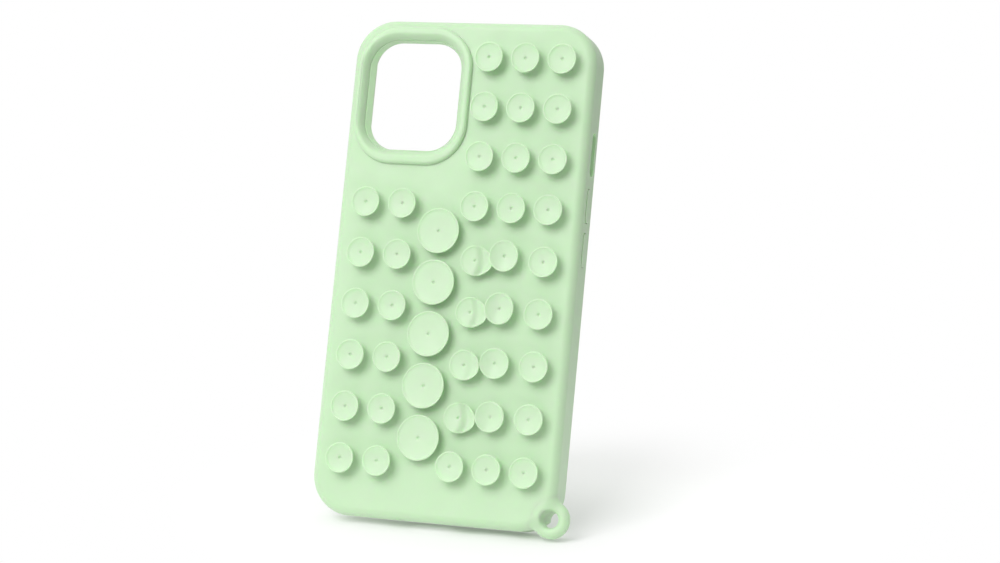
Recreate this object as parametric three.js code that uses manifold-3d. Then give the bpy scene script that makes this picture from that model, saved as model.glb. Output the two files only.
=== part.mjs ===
// A soft silicone phone case with suction cups on its back, a raised camera window and a lanyard loop.
// Millimetres, +Z up. X runs across the case as seen from its cup side, +Y points from the cups to the
// phone's screen. The origin is the centre of the flat floor of the pocket, where the phone's back rests.
import * as THREE from "three";
import { mergeVertices } from "three/addons/utils/BufferGeometryUtils.js";
import Module from "manifold-3d";

// ---- The phone that the case holds ----
const PHONE_WIDTH = 71.5;
const PHONE_HEIGHT = 146.7;
const PHONE_DEPTH = 7.4;
const PHONE_CLEARANCE = 0.25; // all round the phone's edge
const PHONE_DEPTH_CLEARANCE = 0.1;

// ---- Shell ----
const SIDE_WALL = 2.3;
const END_WALL = 1.85;
const BACK_THICKNESS = 2;
const LIP_THICKNESS = 1.2; // the front lip that keeps the phone in
const LIP_OVERHANG = 1.3; // how far the lip reaches over the screen's edge
const LIP_ROUNDING = 0.9;
const CORNER_RADIUS = 12.3;
const BACK_ROUNDING = 2.7;
const EDGE_BAND = 3; // width of the side frame's band on the back, round the panel
const SEAM = 0.15; // gap between pieces that stand still against each other

// ---- Camera window, placed from the phone's own top and side ----
const WINDOW_WIDTH = 27;
const WINDOW_HEIGHT = 33;
const WINDOW_RADIUS = 8;
const WINDOW_SIDE_INSET = 4.45;
const WINDOW_TOP_INSET = 4.8;
const RING_SLEEVE = 1.1; // wall of the ring inside the panel
const RING_WIDTH = 4.6; // from the opening to the ring's outer foot
const RING_HEIGHT = 1.35;
const RING_ROUNDING = 1.1;
const RING_FUNNEL = 2.7; // how much the opening widens towards the camera's front

// ---- Suction cups ----
const LEFT_COLUMNS = 2;
const RIGHT_COLUMNS = 3;
const LOWER_ROWS = 6; // rows below the camera window, full width
const UPPER_ROWS = 3; // rows beside the camera window, right columns only
const CUP_SIDE_MARGIN = 9.6; // case side to the centre of the outer column
const CUP_BOTTOM_MARGIN = 17.2;
const CUP_TOP_MARGIN = 11.15;
const CUP_WINDOW_MARGIN = 11.95; // ring's foot to the centre of the row below it
const RING_TO_COLUMN = 5.6; // ring's foot to the centre of the first right column
const LEFT_COLUMN_PITCH = 11.7;
const SMALL_CUP_SPACE = 2.75; // gap between neighbouring small cups
const LARGE_CUP_SPACE = 2.55; // gap between neighbouring large cups
const LARGE_COLUMN_SHIFT = 0.65; // large column, right of midway between its neighbours
const SMALL_CUP_HEIGHT = 3.85;
const LARGE_CUP_HEIGHT = 3.2;
const SMALL_CUP_TRAVEL = 0.8;
const LARGE_CUP_TRAVEL = 0.6;
const DISH_DEPTH = 0.6;
const LIP_EDGE = 0.6; // thickness of a cup's lip
const RIM_WIDTH = 0.35;
const STEM_SHARE = 0.3; // stem radius, as a share of the cup's radius
const NECK_SHARE = 0.52;
const STEM_CLEARANCE = 0.2;
const STEM_DEPTH = 0.5; // how far the stem stands in its socket at rest
const PRESS_CLEARANCE = 0.2;

// ---- Cups that lean together and stick, in the two columns nearest the large cups ----
const STUCK_ROWS = [5, 6, 7, 8];
const STUCK_GAP = 0.65; // left between the two lips
const STUCK_SHARE = 0.64; // the inner cup's share of the lean

// ---- Side openings and button covers, measured from the phone's top ----
const SWITCH_SLOT_TOP = 29.6;
const SWITCH_SLOT_LENGTH = 13.2;
const SWITCH_SLOT_WIDTH = 3.6;
const SWITCH_SLOT_DEPTH = 4.4; // centre line, from the pocket's floor
const BUTTON_LENGTH = 10.6;
const POWER_BUTTON_LENGTH = 16;
const BUTTON_WIDTH = 3.4;
const BUTTON_DEPTH = PHONE_DEPTH / 2;
const VOLUME_UP_TOP = 46.4;
const BUTTON_SPACE = 2.6; // between the two volume covers
const POWER_BUTTON_TOP = 40;
const BUTTON_CLEARANCE = 0.3;
const BUTTON_PROUD = 0.2;

// ---- Bottom openings ----
const PORT_WIDTH = 13;
const PORT_HEIGHT = 5.6;
const SPEAKER_LENGTH = 11.8;
const SPEAKER_HEIGHT = 3;
const SPEAKER_SPACE = 7.6; // between the port and each speaker slot

// ---- Lanyard loop at the lower right corner ----
const LOOP_HOLE_RADIUS = 2.7;
const LOOP_BAR_RADIUS = 1.55;
const LOOP_ANGLE = -36.6; // degrees from +X, round the corner's centre
const LOOP_STANDOFF = 0.95; // the hole's centre, outside the corner's outline
const LOOP_DEPTH = 1.1; // the loop's middle plane, from the pocket's floor
const LOOP_RELIEF = 1; // depth of the cord's groove in the corner behind the loop

// ---- Fineness of the facets ----
const CORNER_STEPS = 6;
const ROUNDING_STEPS = 3;
const SMALL_CUP_SIDES = 12;
const LARGE_CUP_SIDES = 18;
const SOCKET_SIDES = 8;
const LOOP_SIDES = 10;
const LOOP_STEPS = 24;

// ---- Sizes that follow from the ones above ----
const POCKET_WIDTH = PHONE_WIDTH + 2 * PHONE_CLEARANCE;
const POCKET_HEIGHT = PHONE_HEIGHT + 2 * PHONE_CLEARANCE;
const POCKET_DEPTH = PHONE_DEPTH + PHONE_DEPTH_CLEARANCE;
const CASE_WIDTH = POCKET_WIDTH + 2 * SIDE_WALL;
const CASE_HEIGHT = POCKET_HEIGHT + 2 * END_WALL;
const BACK_FACE = -BACK_THICKNESS;
const FRONT_FACE = POCKET_DEPTH + LIP_THICKNESS;
const RIGHT = CASE_WIDTH / 2;
const TOP = CASE_HEIGHT / 2;
const POCKET_RADIUS = CORNER_RADIUS - SIDE_WALL;
const BEYOND = 5; // how far a cutter runs past what it cuts
const SILICONE = { color: 0xcfe6c6, roughness: 0.62, metalness: 0 };

const wasm = await Module();
wasm.setup();

// A rectangle with round corners, centred on (x, y).
function roundedRectangle(width, height, radius, x = 0, y = 0) {
  const r = Math.min(radius, width / 2 - 0.01, height / 2 - 0.01);
  const across = width / 2 - r;
  const up = height / 2 - r;
  const shape = new THREE.Shape();
  shape.absarc(x + across, y + up, r, 0, Math.PI / 2);
  shape.absarc(x - across, y + up, r, Math.PI / 2, Math.PI);
  shape.absarc(x - across, y - up, r, Math.PI, 1.5 * Math.PI);
  shape.absarc(x + across, y - up, r, 1.5 * Math.PI, 2 * Math.PI);
  shape.closePath();
  return shape;
}

// A shape's plane and the way it is extruded, as the columns of a rotation.
const ALONG = {
  y: [[1, 0, 0], [0, 0, 1], [0, -1, 0]],
  x: [[0, 1, 0], [0, 0, 1], [1, 0, 0]],
  z: [[1, 0, 0], [0, 1, 0], [0, 0, 1]],
};

// Extrudes a shape between two places along an axis. Rounding turns both ends' edges in;
// a flare widens both ends by its size over its depth, as a rounded mouth does.
function prism(shape, axis, from, to, { rounding = 0, flare = null } = {}) {
  const thickness = flare ? flare.depth : rounding;
  const size = flare ? flare.size : rounding;
  const geometry = new THREE.ExtrudeGeometry(shape, {
    depth: to - from - 2 * thickness,
    bevelEnabled: thickness > 0,
    bevelThickness: thickness,
    bevelSize: flare ? -size : size,
    bevelOffset: flare ? size : -size,
    bevelSegments: ROUNDING_STEPS,
    curveSegments: CORNER_STEPS,
  });
  const basis = ALONG[axis].map((column) => new THREE.Vector3(...column));
  geometry.applyMatrix4(new THREE.Matrix4().makeBasis(...basis));
  const start = axis === "y" ? to - thickness : from + thickness;
  const shift = new THREE.Vector3().setComponent("xyz".indexOf(axis), start);
  return geometry.translate(shift.x, shift.y, shift.z);
}

function solid(geometry) {
  const bare = geometry.clone();
  bare.deleteAttribute("normal");
  bare.deleteAttribute("uv");
  const merged = mergeVertices(bare, 1e-4);
  const vertProperties = new Float32Array(merged.attributes.position.array);
  const triVerts = new Uint32Array(merged.index.array);
  return new wasm.Manifold(new wasm.Mesh({ numProp: 3, vertProperties, triVerts }));
}

function geometryOf(manifold) {
  const mesh = manifold.getMesh();
  const geometry = new THREE.BufferGeometry();
  geometry.setAttribute("position", new THREE.BufferAttribute(mesh.vertProperties, 3));
  geometry.setIndex(new THREE.BufferAttribute(mesh.triVerts, 1));
  geometry.computeVertexNormals();
  return geometry;
}

const without = (base, ...cutters) =>
  cutters.reduce((left, cutter) => left.subtract(solid(cutter)), base);

// The outline of the case, grown or shrunk, with its corners kept concentric.
function outline(growth) {
  return roundedRectangle(
    CASE_WIDTH + 2 * growth,
    CASE_HEIGHT + 2 * growth,
    Math.max(CORNER_RADIUS + growth, 0.5),
  );
}

const pocketOutline = (growth) =>
  roundedRectangle(
    POCKET_WIDTH + 2 * growth,
    POCKET_HEIGHT + 2 * growth,
    Math.max(POCKET_RADIUS + growth, 0.5),
  );

// ---- Camera window ----
const windowX = -PHONE_WIDTH / 2 + WINDOW_SIDE_INSET + WINDOW_WIDTH / 2;
const windowZ = PHONE_HEIGHT / 2 - WINDOW_TOP_INSET - WINDOW_HEIGHT / 2;
const ringRight = windowX + WINDOW_WIDTH / 2 + RING_WIDTH;
const ringBottom = windowZ - WINDOW_HEIGHT / 2 - RING_WIDTH;

const windowOutline = (growth) =>
  roundedRectangle(
    WINDOW_WIDTH + 2 * growth,
    WINDOW_HEIGHT + 2 * growth,
    WINDOW_RADIUS + growth,
    windowX,
    windowZ,
  );

// ---- Layout of the cups ----
const lowestRow = -TOP + CUP_BOTTOM_MARGIN;
const rowBelowWindow = ringBottom - CUP_WINDOW_MARGIN;
const lowerPitch = (rowBelowWindow - lowestRow) / (LOWER_ROWS - 1);
const upperPitch = (TOP - CUP_TOP_MARGIN - rowBelowWindow) / UPPER_ROWS;
const firstRightColumn = ringRight + RING_TO_COLUMN;
const rightPitch = (RIGHT - CUP_SIDE_MARGIN - firstRightColumn) / (RIGHT_COLUMNS - 1);
const lastLeftColumn = -RIGHT + CUP_SIDE_MARGIN + LEFT_COLUMN_PITCH * (LEFT_COLUMNS - 1);
const largeColumn = (lastLeftColumn + firstRightColumn) / 2 + LARGE_COLUMN_SHIFT;
const smallPitch = Math.min(rightPitch, LEFT_COLUMN_PITCH, lowerPitch, upperPitch);
const smallRadius = (smallPitch - SMALL_CUP_SPACE) / 2;
const largeRadius = (lowerPitch - LARGE_CUP_SPACE) / 2;

// Rows are counted from the top; the last LOWER_ROWS of them lie below the window.
function rowHeight(row) {
  return row <= UPPER_ROWS
    ? rowBelowWindow + (UPPER_ROWS + 1 - row) * upperPitch
    : rowBelowWindow - (row - UPPER_ROWS - 1) * lowerPitch;
}

const small = {
  radius: smallRadius,
  height: SMALL_CUP_HEIGHT,
  travel: SMALL_CUP_TRAVEL,
  sides: SMALL_CUP_SIDES,
};
const large = {
  radius: largeRadius,
  height: LARGE_CUP_HEIGHT,
  travel: LARGE_CUP_TRAVEL,
  sides: LARGE_CUP_SIDES,
};

function cupLayout() {
  const cups = [];
  const lean = rightPitch - 2 * smallRadius - STUCK_GAP;
  for (let row = 1; row <= UPPER_ROWS + LOWER_ROWS; row++) {
    const z = rowHeight(row);
    for (let i = 0; i < LEFT_COLUMNS && row > UPPER_ROWS; i++)
      cups.push({
        name: `cup_r${row}_left${i + 1}`,
        x: lastLeftColumn - (LEFT_COLUMNS - 1 - i) * LEFT_COLUMN_PITCH,
        z,
        lean: 0,
        kind: small,
      });
    for (let i = 0; i < RIGHT_COLUMNS; i++) {
      const leans = STUCK_ROWS.includes(row) && i < 2;
      const share = i === 0 ? STUCK_SHARE : STUCK_SHARE - 1;
      cups.push({
        name: `cup_r${row}_right${i + 1}`,
        x: firstRightColumn + i * rightPitch,
        z,
        lean: leans ? lean * share : 0,
        kind: small,
      });
    }
  }
  for (let i = 0; i < LOWER_ROWS - 1; i++)
    cups.push({
      name: `large_cup_${i + 1}`,
      x: largeColumn,
      z: rowBelowWindow - (i + 0.5) * lowerPitch,
      lean: 0,
      kind: large,
    });
  return cups;
}

// A cup turned about its stem: stem, shoulder, flaring underside, lip, rim and a shallow dish.
// Its foot is at the origin and it stands out along -Y. A lean moves it sideways towards its rim.
function cupGeometry({ kind, lean }) {
  const { radius, height, travel, sides } = kind;
  const stem = radius * STEM_SHARE;
  const shoulder = travel + PRESS_CLEARANCE;
  const profile = [
    [0, height - DISH_DEPTH],
    [radius - RIM_WIDTH, height],
    [radius, height - LIP_EDGE / 4],
    [radius - RIM_WIDTH / 3, height - LIP_EDGE],
    [radius * NECK_SHARE, shoulder],
    [stem, shoulder],
    [stem, -STEM_DEPTH],
    [0, -STEM_DEPTH],
  ];
  const points = profile.map(([r, h]) => new THREE.Vector2(r, -h));
  const geometry = new THREE.LatheGeometry(points, sides);
  const place = geometry.attributes.position;
  for (let i = 0; i < place.count; i++) {
    const out = Math.max(-place.getY(i) - shoulder, 0) / (height - shoulder);
    place.setX(i, place.getX(i) + lean * out);
  }
  return geometry;
}

function socketGeometry({ x, z, kind }) {
  const radius = kind.radius * STEM_SHARE + STEM_CLEARANCE;
  const deep = STEM_DEPTH + kind.travel + PRESS_CLEARANCE;
  return new THREE.CylinderGeometry(radius, radius, deep + BEYOND, SOCKET_SIDES)
    .translate(x, BACK_FACE + (deep - BEYOND) / 2, z);
}

// ---- Places on the side walls and the bottom wall ----
const fromPhoneTop = (distance, length) => PHONE_HEIGHT / 2 - distance - length / 2;

const buttons = [
  { name: "volume_up_cover", side: 1, length: BUTTON_LENGTH, top: VOLUME_UP_TOP },
  {
    name: "volume_down_cover",
    side: 1,
    length: BUTTON_LENGTH,
    top: VOLUME_UP_TOP + BUTTON_LENGTH + BUTTON_SPACE,
  },
  { name: "power_cover", side: -1, length: POWER_BUTTON_LENGTH, top: POWER_BUTTON_TOP },
];

// A slot-shaped bar through a side wall, smaller all round by its clearance.
function sideBar({ side, length, top }, width, depth, inner, outer, clearance) {
  const shape = roundedRectangle(
    width - 2 * clearance,
    length - 2 * clearance,
    width / 2 - clearance,
    depth,
    fromPhoneTop(top, length),
  );
  return side > 0 ? prism(shape, "x", inner, outer) : prism(shape, "x", -outer, -inner);
}

function bottomBar(x, width, height) {
  const shape = roundedRectangle(width, height, height / 2, x, PHONE_DEPTH / 2);
  return prism(shape, "z", -TOP - BEYOND, -POCKET_HEIGHT / 2 + END_WALL);
}

function wallOpenings() {
  const inner = POCKET_WIDTH / 2 - SIDE_WALL;
  const outer = RIGHT + BEYOND;
  const slot = { side: 1, length: SWITCH_SLOT_LENGTH, top: SWITCH_SLOT_TOP };
  const speakerX = PORT_WIDTH / 2 + SPEAKER_SPACE + SPEAKER_LENGTH / 2;
  return [
    sideBar(slot, SWITCH_SLOT_WIDTH, SWITCH_SLOT_DEPTH, inner, outer, 0),
    ...buttons.map((b) => sideBar(b, BUTTON_WIDTH, BUTTON_DEPTH, inner, outer, 0)),
    bottomBar(0, PORT_WIDTH, PORT_HEIGHT),
    bottomBar(-speakerX, SPEAKER_LENGTH, SPEAKER_HEIGHT),
    bottomBar(speakerX, SPEAKER_LENGTH, SPEAKER_HEIGHT),
  ];
}

// ---- Lanyard loop's place, on a ray from the corner's centre ----
function loopPoint(standoff) {
  const angle = THREE.MathUtils.degToRad(LOOP_ANGLE);
  const reach = CORNER_RADIUS + standoff;
  return [
    RIGHT - CORNER_RADIUS + reach * Math.cos(angle),
    -TOP + CORNER_RADIUS + reach * Math.sin(angle),
  ];
}

// The groove that lets a cord pass between the loop and the corner.
function cordGroove() {
  const [x, z] = loopPoint(LOOP_HOLE_RADIUS - LOOP_RELIEF);
  const length = FRONT_FACE - LOOP_DEPTH + BEYOND;
  return new THREE.CylinderGeometry(LOOP_HOLE_RADIUS, LOOP_HOLE_RADIUS, length, LOOP_STEPS)
    .translate(x, LOOP_DEPTH + length / 2, z);
}

// ---- The pieces ----
function sideFrame() {
  const body = solid(prism(outline(0), "y", BACK_FACE, FRONT_FACE + BEYOND, {
    rounding: BACK_ROUNDING,
  }));
  return without(
    body,
    prism(outline(BEYOND), "y", POCKET_DEPTH, FRONT_FACE + 2 * BEYOND),
    prism(pocketOutline(0), "y", 0, FRONT_FACE + BEYOND),
    prism(outline(-EDGE_BAND), "y", BACK_FACE - BEYOND, BEYOND),
    ...wallOpenings(),
    cordGroove(),
  );
}

function frontLip() {
  const body = solid(prism(outline(0), "y", BACK_FACE, FRONT_FACE, { rounding: LIP_ROUNDING }));
  return without(
    body,
    prism(outline(BEYOND), "y", BACK_FACE - BEYOND, POCKET_DEPTH + SEAM),
    prism(pocketOutline(-LIP_OVERHANG), "y", 0, FRONT_FACE + BEYOND),
    cordGroove(),
  );
}

function backPanel(cups) {
  const body = solid(prism(outline(-EDGE_BAND - SEAM), "y", BACK_FACE, 0));
  return without(
    body,
    prism(windowOutline(RING_SLEEVE + SEAM), "y", BACK_FACE - BEYOND, BEYOND),
    ...cups.map(socketGeometry),
  );
}

// The ring's sleeve lines the opening in the panel, and its bead stands on the panel's back face.
function cameraRing() {
  const crest = BACK_FACE - RING_HEIGHT;
  const sleeve = prism(windowOutline(RING_SLEEVE), "y", crest + RING_HEIGHT / 2, 0);
  const bead = prism(windowOutline(RING_WIDTH), "y", crest, BEYOND, { rounding: RING_ROUNDING });
  const above = prism(outline(BEYOND), "y", BACK_FACE, 2 * BEYOND);
  const funnel = prism(windowOutline(0), "y", crest, 2 * BEYOND, {
    flare: { size: RING_FUNNEL, depth: -crest },
  });
  return without(without(solid(bead), above).add(solid(sleeve)), funnel);
}

function lanyardLoop() {
  const [x, z] = loopPoint(LOOP_STANDOFF);
  const ring = new THREE.TorusGeometry(
    LOOP_HOLE_RADIUS + LOOP_BAR_RADIUS,
    LOOP_BAR_RADIUS,
    LOOP_SIDES,
    LOOP_STEPS,
  )
    .rotateX(Math.PI / 2)
    .translate(x, LOOP_DEPTH, z);
  const shell = prism(outline(SEAM), "y", BACK_FACE - SEAM, FRONT_FACE + BEYOND, {
    rounding: BACK_ROUNDING + SEAM,
  });
  return without(solid(ring), shell);
}

const buttonCover = (button) =>
  sideBar(
    button,
    BUTTON_WIDTH,
    BUTTON_DEPTH,
    POCKET_WIDTH / 2,
    RIGHT + BUTTON_PROUD,
    BUTTON_CLEARANCE,
  );

const phoneCase = new THREE.Group();

function addPart(name, geometry, x = 0, y = 0, z = 0) {
  const mesh = new THREE.Mesh(geometry, new THREE.MeshStandardMaterial(SILICONE));
  mesh.name = name;
  mesh.position.set(x, y, z);
  phoneCase.add(mesh);
}

const cups = cupLayout();
addPart("back_panel", geometryOf(backPanel(cups)));
addPart("side_frame", geometryOf(sideFrame()));
addPart("front_lip", geometryOf(frontLip()));
addPart("camera_ring", geometryOf(cameraRing()));
addPart("lanyard_loop", geometryOf(lanyardLoop()));
for (const button of buttons) addPart(button.name, buttonCover(button));
for (const cup of cups) addPart(cup.name, cupGeometry(cup), cup.x, BACK_FACE, cup.z);

export default phoneCase;
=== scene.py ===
"""A soft silicone phone case with suction cups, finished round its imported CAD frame.

The frame gives every place: the shell, the camera ring, the lanyard loop, the button covers and each cup
are built over the CAD node that they stand for, in metres, in the frame's own axes. Sizes in the classes
below are in millimetres, and MM turns them to metres.
"""

import logging
import math
import random
from collections.abc import Callable, Iterable
from dataclasses import astuple, dataclass, field
from enum import Enum

import bmesh
import bpy
import numpy as np
from mathutils import Matrix, Vector


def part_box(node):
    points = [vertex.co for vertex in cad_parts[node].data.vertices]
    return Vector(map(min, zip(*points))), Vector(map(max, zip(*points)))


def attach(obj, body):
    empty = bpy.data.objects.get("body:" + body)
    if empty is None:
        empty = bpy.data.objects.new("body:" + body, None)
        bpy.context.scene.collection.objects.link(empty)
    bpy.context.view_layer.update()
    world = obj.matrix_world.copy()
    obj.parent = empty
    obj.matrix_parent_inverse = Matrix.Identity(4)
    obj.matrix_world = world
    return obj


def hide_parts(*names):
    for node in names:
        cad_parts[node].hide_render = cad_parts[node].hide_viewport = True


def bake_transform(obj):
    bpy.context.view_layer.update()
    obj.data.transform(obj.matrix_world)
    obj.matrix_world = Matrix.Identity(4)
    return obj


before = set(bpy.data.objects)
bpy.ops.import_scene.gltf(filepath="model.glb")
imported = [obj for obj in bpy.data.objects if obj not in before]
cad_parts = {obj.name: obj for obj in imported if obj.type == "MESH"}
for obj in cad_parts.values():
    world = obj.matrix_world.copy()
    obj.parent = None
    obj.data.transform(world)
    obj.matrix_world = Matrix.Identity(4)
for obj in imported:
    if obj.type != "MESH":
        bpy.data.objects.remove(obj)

MM = 0.001
MERGE = 1e-7  # points nearer than this are one point, in metres
SAME_LEVEL = 2e-6  # how far a vertex may lie from a level and still be on it, in metres
SHARP_DEGREES = 38
ALL_SMOOTH = 180  # no edge turns further, so none is sharp
ROUND_END = 0.999  # a bevel just short of half the width, so that its two ends don't meet
SHELL = "shell"
log = logging.getLogger("phone_case")


class Slot(Enum):
    """The material slots that the record names."""

    SHELL = "shell_silicone"
    CUP = "cup_silicone"
    BUTTON = "button_silicone"


# ---------------------------------------------------------------------------------------------- materials


def linear(colour: str) -> tuple[float, float, float, float]:
    """Turns an sRGB hex colour to linear RGBA.

    Args:
        colour: six hex digits, with or without a leading #.

    Returns:
        Red, green, blue and an alpha of 1, in linear light.
    """
    digits = colour.lstrip("#")
    channels = [int(digits[i : i + 2], 16) / 255 for i in (0, 2, 4)]
    lit = [c / 12.92 if c <= 0.04045 else ((c + 0.055) / 1.055) ** 2.4 for c in channels]
    return (lit[0], lit[1], lit[2], 1.0)


def add_node(
    tree: bpy.types.NodeTree,
    kind: str,
    settings: dict[str, object] | None = None,
    inputs: dict[str | int, object] | None = None,
) -> bpy.types.Node:
    """Adds one node to a tree, with its settings, values and links.

    Args:
        tree: the node tree.
        kind: the node's type name.
        settings: attributes of the node.
        inputs: for each input socket, a value or the output socket that feeds it.

    Returns:
        The new node.
    """
    node = tree.nodes.new(kind)
    for key, value in (settings or {}).items():
        setattr(node, key, value)
    for key, value in (inputs or {}).items():
        if isinstance(value, bpy.types.NodeSocket):
            tree.links.new(value, node.inputs[key])
        else:
            node.inputs[key].default_value = value
    return node


@dataclass(frozen=True)
class MouldedSilicone:
    """Liquid silicone rubber, injection moulded in a bead-blasted tool.

    The tool's fine grain makes it matte, and light that scatters a millimetre or two inside it softens
    shadows and warms thin lips. Colour and roughness drift slightly across each part; a paler copy stands
    as painted light on the raised cups.
    """

    name: str
    colour: str
    cloud_colour: str
    roughness: float = 0.52
    roughness_drift: float = 0.05
    cloud_mm: float = 14.0
    grain_mm: float = 0.16  # real blasted grain is about 0.05 mm; drawn coarser so that it shows
    grain_height_mm: float = 0.012
    ripple_mm: float = 5.0
    ripple_height_mm: float = 0.02
    scatter_mm: float = 1.5
    scatter_weight: float = 0.6
    scatter_reach: tuple[float, float, float] = (0.5, 1.0, 0.42)  # green goes furthest
    sheen: float = 0.3
    sheen_roughness: float = 0.6
    sheen_tint: str = "#f2fff0"
    ior: float = 1.5
    specular_level: float = 0.8

    def material(self) -> bpy.types.Material:
        """Builds the material on Object coordinates, with pattern sizes in real millimetres."""
        made = bpy.data.materials.new(self.name)
        made.use_nodes = True
        tree = made.node_tree
        tree.nodes.clear()
        place = add_node(tree, "ShaderNodeTexCoord").outputs["Object"]
        noise = [
            add_node(
                tree,
                "ShaderNodeTexNoise",
                inputs={"Vector": place, "Scale": 1 / (size * MM), "Detail": detail},
            ).outputs["Fac"]
            for size, detail in (
                (self.cloud_mm, 2.0),
                (self.grain_mm, 2.0),
                (self.ripple_mm, 1.0),
            )
        ]
        tone = add_node(
            tree,
            "ShaderNodeMix",
            {"data_type": "RGBA"},
            {0: noise[0], 6: linear(self.colour), 7: linear(self.cloud_colour)},
        )
        rough = add_node(
            tree,
            "ShaderNodeMapRange",
            inputs={
                "Value": noise[2],
                "From Min": 0.3,
                "From Max": 0.7,
                "To Min": self.roughness - self.roughness_drift,
                "To Max": self.roughness + self.roughness_drift,
            },
        )
        ripple = add_node(
            tree,
            "ShaderNodeBump",
            inputs={"Height": noise[2], "Distance": self.ripple_height_mm * MM, "Strength": 1.0},
        )
        grain = add_node(
            tree,
            "ShaderNodeBump",
            inputs={
                "Height": noise[1],
                "Distance": self.grain_height_mm * MM,
                "Strength": 1.0,
                "Normal": ripple.outputs["Normal"],
            },
        )
        shader = add_node(
            tree,
            "ShaderNodeBsdfPrincipled",
            inputs={
                "Base Color": tone.outputs[2],
                "Roughness": rough.outputs["Result"],
                "Normal": grain.outputs["Normal"],
                "IOR": self.ior,
                "Specular IOR Level": self.specular_level,
                "Subsurface Weight": self.scatter_weight,
                "Subsurface Radius": self.scatter_reach,
                "Subsurface Scale": self.scatter_mm * MM,
                "Sheen Weight": self.sheen,
                "Sheen Roughness": self.sheen_roughness,
                "Sheen Tint": linear(self.sheen_tint),
            },
        )
        add_node(
            tree,
            "ShaderNodeOutputMaterial",
            inputs={"Surface": shader.outputs["BSDF"]},
        )
        return made


@dataclass(frozen=True)
class PaintedFloor:
    """A white board, rolled smooth, with no gloss, glowing with painted fill light that is dimmer at the
    case's foot as painted contact shade and turns to plain white glow far out, lifting the cast shadow.
    """

    name: str = "painted_floor_white"
    colour: str = "#e6e6e6"
    fill: float = 0.24
    # painted contact shade: the floor's fill glow drops to this level in a box round the case's bottom
    # edge
    painted_shade_fill: float = 0.12
    foot_middle_mm: tuple[float, float, float] = (0.0, 3.0, -76.0)
    foot_half_mm: tuple[float, float, float] = (38.0, 6.0, 3.0)
    painted_shade_span_mm: tuple[float, float] = (6.0, 70.0)
    fade_middle_mm: tuple[float, float, float] = (20.0, 45.0, -65.0)
    fade_mm: tuple[float, float] = (40.0, 118.0)

    def ramp(
        self, tree: bpy.types.NodeTree, value: bpy.types.NodeSocket, span: tuple[float, float]
    ) -> bpy.types.NodeSocket:
        """Adds a smooth step from 0 to 1.

        Args:
            tree: the node tree.
            value: the distance that is stepped, in metres.
            span: where the step starts and ends, in millimetres.

        Returns:
            The step's output.
        """
        step = add_node(
            tree,
            "ShaderNodeMapRange",
            {"interpolation_type": "SMOOTHSTEP"},
            {"Value": value, "From Min": span[0] * MM, "From Max": span[1] * MM},
        )
        return step.outputs["Result"]

    def material(self) -> bpy.types.Material:
        """Builds the floor: a dimmer glow at the case's foot as painted contact shade, more painted fill
        light beyond, and then white glow further out that lifts the cast shadow.
        """
        made = bpy.data.materials.new(self.name)
        made.use_nodes = True
        tree = made.node_tree
        tree.nodes.clear()
        place = add_node(tree, "ShaderNodeTexCoord").outputs["Object"]

        def vector(operation: str, *inputs: object) -> bpy.types.Node:
            """Adds one vector operation."""
            return add_node(
                tree, "ShaderNodeVectorMath", {"operation": operation}, dict(enumerate(inputs))
            )

        middle = tuple(c * MM for c in self.foot_middle_mm)
        half = tuple(c * MM for c in self.foot_half_mm)
        apart = vector("ABSOLUTE", vector("SUBTRACT", place, middle).outputs[0]).outputs[0]
        beyond = vector("MAXIMUM", vector("SUBTRACT", apart, half).outputs[0], (0, 0, 0)).outputs[0]
        # painted contact shade: the glow rises from the foot's dim level to the full fill across this
        # span
        out_of_painted_shade = self.ramp(tree, vector("LENGTH", beyond).outputs["Value"], self.painted_shade_span_mm)
        away = vector("DISTANCE", place, tuple(c * MM for c in self.fade_middle_mm))
        # painted light: far from the case the floor turns to plain white glow, which lifts the key
        # light's cast shadow there
        far = self.ramp(tree, away.outputs["Value"], self.fade_mm)
        paint = add_node(tree, "ShaderNodeBsdfDiffuse", inputs={"Color": linear(self.colour)})
        level = add_node(
            tree,
            "ShaderNodeMath",
            {"operation": "MULTIPLY_ADD"},
            {0: out_of_painted_shade, 1: self.fill - self.painted_shade_fill, 2: self.painted_shade_fill},
        )
        # the floor glows with painted fill light; no lamp stands here
        fill = add_node(tree, "ShaderNodeEmission", inputs={"Strength": level.outputs[0]})
        board = add_node(
            tree, "ShaderNodeAddShader", inputs={0: paint.outputs[0], 1: fill.outputs[0]}
        )
        light = add_node(tree, "ShaderNodeEmission", inputs={"Strength": 1.0})
        both = add_node(
            tree,
            "ShaderNodeMixShader",
            inputs={0: far, 1: board.outputs[0], 2: light.outputs[0]},
        )
        add_node(tree, "ShaderNodeOutputMaterial", inputs={"Surface": both.outputs[0]})
        return made


# ------------------------------------------------------------------------------------------ mesh workshop


def smooth_but_sharp(bm: bmesh.types.BMesh, sharp_degrees: float = SHARP_DEGREES) -> None:
    """Makes every face smooth, and every edge that turns further than an angle sharp.

    Args:
        bm: the shape.
        sharp_degrees: the angle.
    """
    for face in bm.faces:
        face.smooth = True
    limit = math.radians(sharp_degrees)
    for edge in bm.edges:
        edge.smooth = len(edge.link_faces) != 2 or edge.calc_face_angle(0) < limit


def finish_mesh(
    bm: bmesh.types.BMesh, name: str, sharp_degrees: float = SHARP_DEGREES
) -> bpy.types.Object:
    """Turns a bmesh to an object at the origin, smooth but for its sharp edges.

    Args:
        bm: the shape, in metres, in the frame's axes. It is freed.
        name: the object's name.
        sharp_degrees: edges that turn further than this stay sharp.

    Returns:
        The new object, linked to the scene.
    """
    smooth_but_sharp(bm, sharp_degrees)
    mesh = bpy.data.meshes.new(name)
    bm.to_mesh(mesh)
    bm.free()
    made = bpy.data.objects.new(name, mesh)
    bpy.context.scene.collection.objects.link(made)
    return made


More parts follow.
